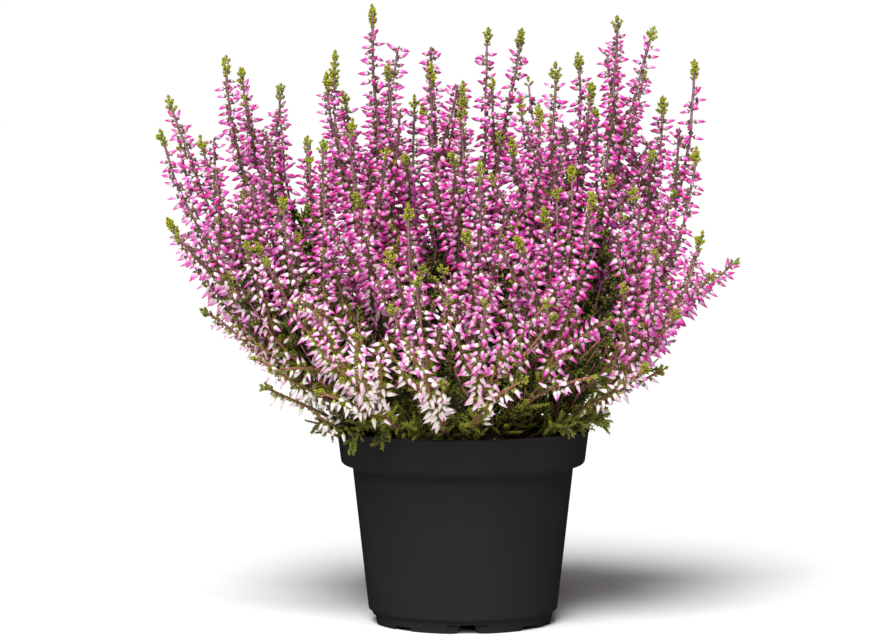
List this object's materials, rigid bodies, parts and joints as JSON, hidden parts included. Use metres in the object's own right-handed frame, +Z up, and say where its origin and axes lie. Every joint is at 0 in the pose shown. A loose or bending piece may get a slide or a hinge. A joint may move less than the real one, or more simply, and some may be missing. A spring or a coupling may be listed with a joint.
{
  "type": "potted heather",
  "caption": "Bud-bloom heather with upright spikes of closed pink buds, growing in peat in a black plastic nursery pot.",
  "frame": {"origin": "on the pot's axis, on the surface that the pot stands on, midway between the furthest tips", "axes": "+Z up along the pot's axis, -Y towards the side that shows its flowers best, +X to the right of that view"},
  "size_m": [0.274, 0.2444, 0.291],
  "materials": {
    "pot_plastic": "moulded black polypropylene, satin",
    "peat": "loose dark brown fibrous peat",
    "flowering_stems": "matte closed buds, magenta to white, on brown woody stems with green tips",
    "green_shoots": "matte green scale leaves"
  },
  "bodies": {
    "root": {"pot": "pot_plastic", "peat": "peat", "flowering_stem_01": "flowering_stems", "flowering_stem_02": "flowering_stems", "flowering_stem_03": "flowering_stems", "flowering_stem_04": "flowering_stems", "flowering_stem_05": "flowering_stems", "flowering_stem_06": "flowering_stems", "flowering_stem_07": "flowering_stems", "flowering_stem_08": "flowering_stems", "flowering_stem_09": "flowering_stems", "flowering_stem_10": "flowering_stems", "flowering_stem_11": "flowering_stems", "flowering_stem_12": "flowering_stems", "flowering_stem_13": "flowering_stems", "flowering_stem_14": "flowering_stems", "flowering_stem_15": "flowering_stems", "flowering_stem_16": "flowering_stems", "flowering_stem_17": "flowering_stems", "flowering_stem_18": "flowering_stems", "flowering_stem_19": "flowering_stems", "flowering_stem_20": "flowering_stems", "flowering_stem_21": "flowering_stems", "flowering_stem_22": "flowering_stems", "flowering_stem_23": "flowering_stems", "flowering_stem_24": "flowering_stems", "flowering_stem_25": "flowering_stems", "flowering_stem_26": "flowering_stems", "flowering_stem_27": "flowering_stems", "flowering_stem_28": "flowering_stems", "flowering_stem_29": "flowering_stems", "flowering_stem_30": "flowering_stems", "flowering_stem_31": "flowering_stems", "flowering_stem_32": "flowering_stems", "flowering_stem_33": "flowering_stems", "flowering_stem_34": "flowering_stems", "flowering_stem_35": "flowering_stems", "flowering_stem_36": "flowering_stems", "flowering_stem_37": "flowering_stems", "flowering_stem_38": "flowering_stems", "flowering_stem_39": "flowering_stems", "flowering_stem_40": "flowering_stems", "leafy_shoot_01": "green_shoots", "leafy_shoot_02": "green_shoots", "leafy_shoot_03": "green_shoots", "leafy_shoot_04": "green_shoots", "leafy_shoot_05": "green_shoots", "leafy_shoot_06": "green_shoots", "leafy_shoot_07": "green_shoots", "leafy_shoot_08": "green_shoots", "leafy_shoot_09": "green_shoots"}
  },
  "joints": []
}
